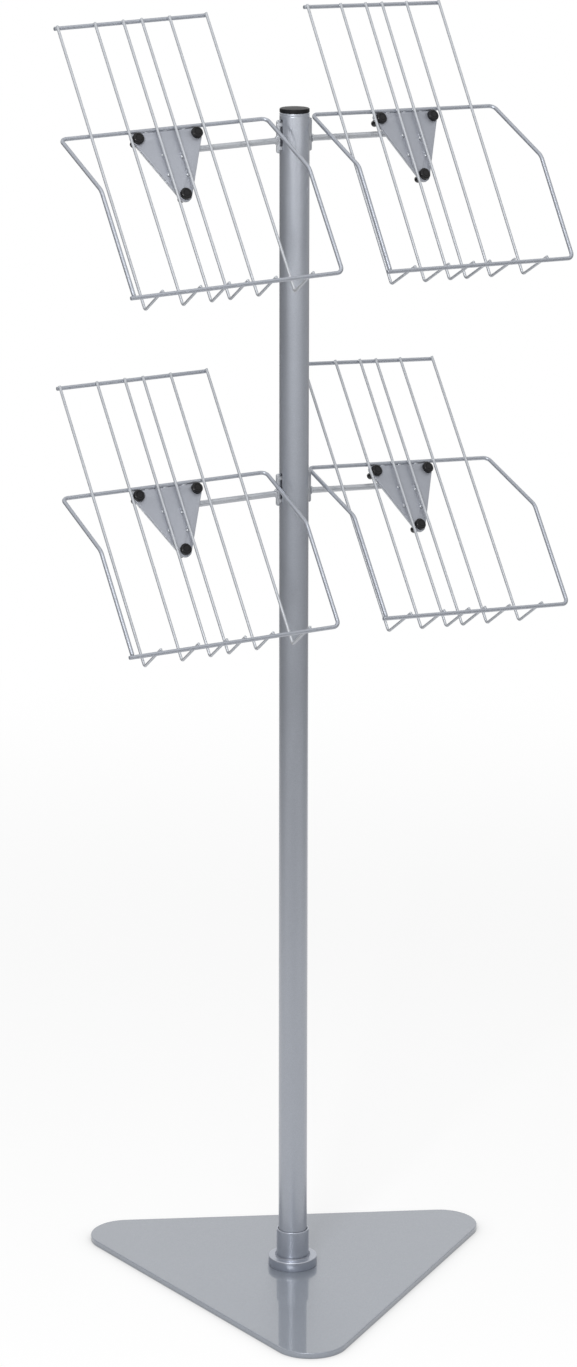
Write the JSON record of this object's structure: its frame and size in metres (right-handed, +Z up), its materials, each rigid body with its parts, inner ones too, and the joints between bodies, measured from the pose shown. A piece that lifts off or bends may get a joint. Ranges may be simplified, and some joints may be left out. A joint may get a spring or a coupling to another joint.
{
  "type": "periodical display rack",
  "caption": "Free-standing display rack with a round pole on a triangular base plate and leaning wire pockets for magazines on arms at both sides.",
  "frame": {"origin": "on the floor, where the pole's axis meets the base plate's underside", "axes": "+Z up along the pole; the pockets face -Y and the arms reach out along -X and +X"},
  "size_m": [0.5064, 0.4042, 1.2805],
  "materials": {
    "silver_paint": "satin silver-grey powder coat",
    "zinc_steel": "zinc-plated steel",
    "black_plastic": "glossy black moulded plastic"
  },
  "bodies": {
    "base": {"base_plate": "silver_paint", "socket": "silver_paint", "base_stud": "zinc_steel", "stud_nut": "zinc_steel"},
    "column": {"pole": "silver_paint", "pole_plug": "zinc_steel", "pole_cap": "black_plastic", "upper_left_arm": "silver_paint", "upper_left_plate": "silver_paint", "upper_left_top_bar": "silver_paint", "upper_left_loop": "silver_paint", "upper_left_wire_1": "silver_paint", "upper_left_wire_2": "silver_paint", "upper_left_wire_3": "silver_paint", "upper_left_wire_4": "silver_paint", "upper_left_wire_5": "silver_paint", "upper_left_wire_6": "silver_paint", "upper_left_rivet_left": "black_plastic", "upper_left_rivet_right": "black_plastic", "upper_left_rivet_low": "black_plastic", "upper_right_arm": "silver_paint", "upper_right_plate": "silver_paint", "upper_right_top_bar": "silver_paint", "upper_right_loop": "silver_paint", "upper_right_wire_1": "silver_paint", "upper_right_wire_2": "silver_paint", "upper_right_wire_3": "silver_paint", "upper_right_wire_4": "silver_paint", "upper_right_wire_5": "silver_paint", "upper_right_wire_6": "silver_paint", "upper_right_rivet_left": "black_plastic", "upper_right_rivet_right": "black_plastic", "upper_right_rivet_low": "black_plastic", "lower_left_arm": "silver_paint", "lower_left_plate": "silver_paint", "lower_left_top_bar": "silver_paint", "lower_left_loop": "silver_paint", "lower_left_wire_1": "silver_paint", "lower_left_wire_2": "silver_paint", "lower_left_wire_3": "silver_paint", "lower_left_wire_4": "silver_paint", "lower_left_wire_5": "silver_paint", "lower_left_wire_6": "silver_paint", "lower_left_rivet_left": "black_plastic", "lower_left_rivet_right": "black_plastic", "lower_left_rivet_low": "black_plastic", "lower_right_arm": "silver_paint", "lower_right_plate": "silver_paint", "lower_right_top_bar": "silver_paint", "lower_right_loop": "silver_paint", "lower_right_wire_1": "silver_paint", "lower_right_wire_2": "silver_paint", "lower_right_wire_3": "silver_paint", "lower_right_wire_4": "silver_paint", "lower_right_wire_5": "silver_paint", "lower_right_wire_6": "silver_paint", "lower_right_rivet_left": "black_plastic", "lower_right_rivet_right": "black_plastic", "lower_right_rivet_low": "black_plastic"}
  },
  "joints": [
    {"name": "pole_turn", "type": "hinge", "parent": "base", "child": "column", "pos_m": [0, 0, 0.0123], "axis": [0, 0, 1], "continuous": true}
  ]
}
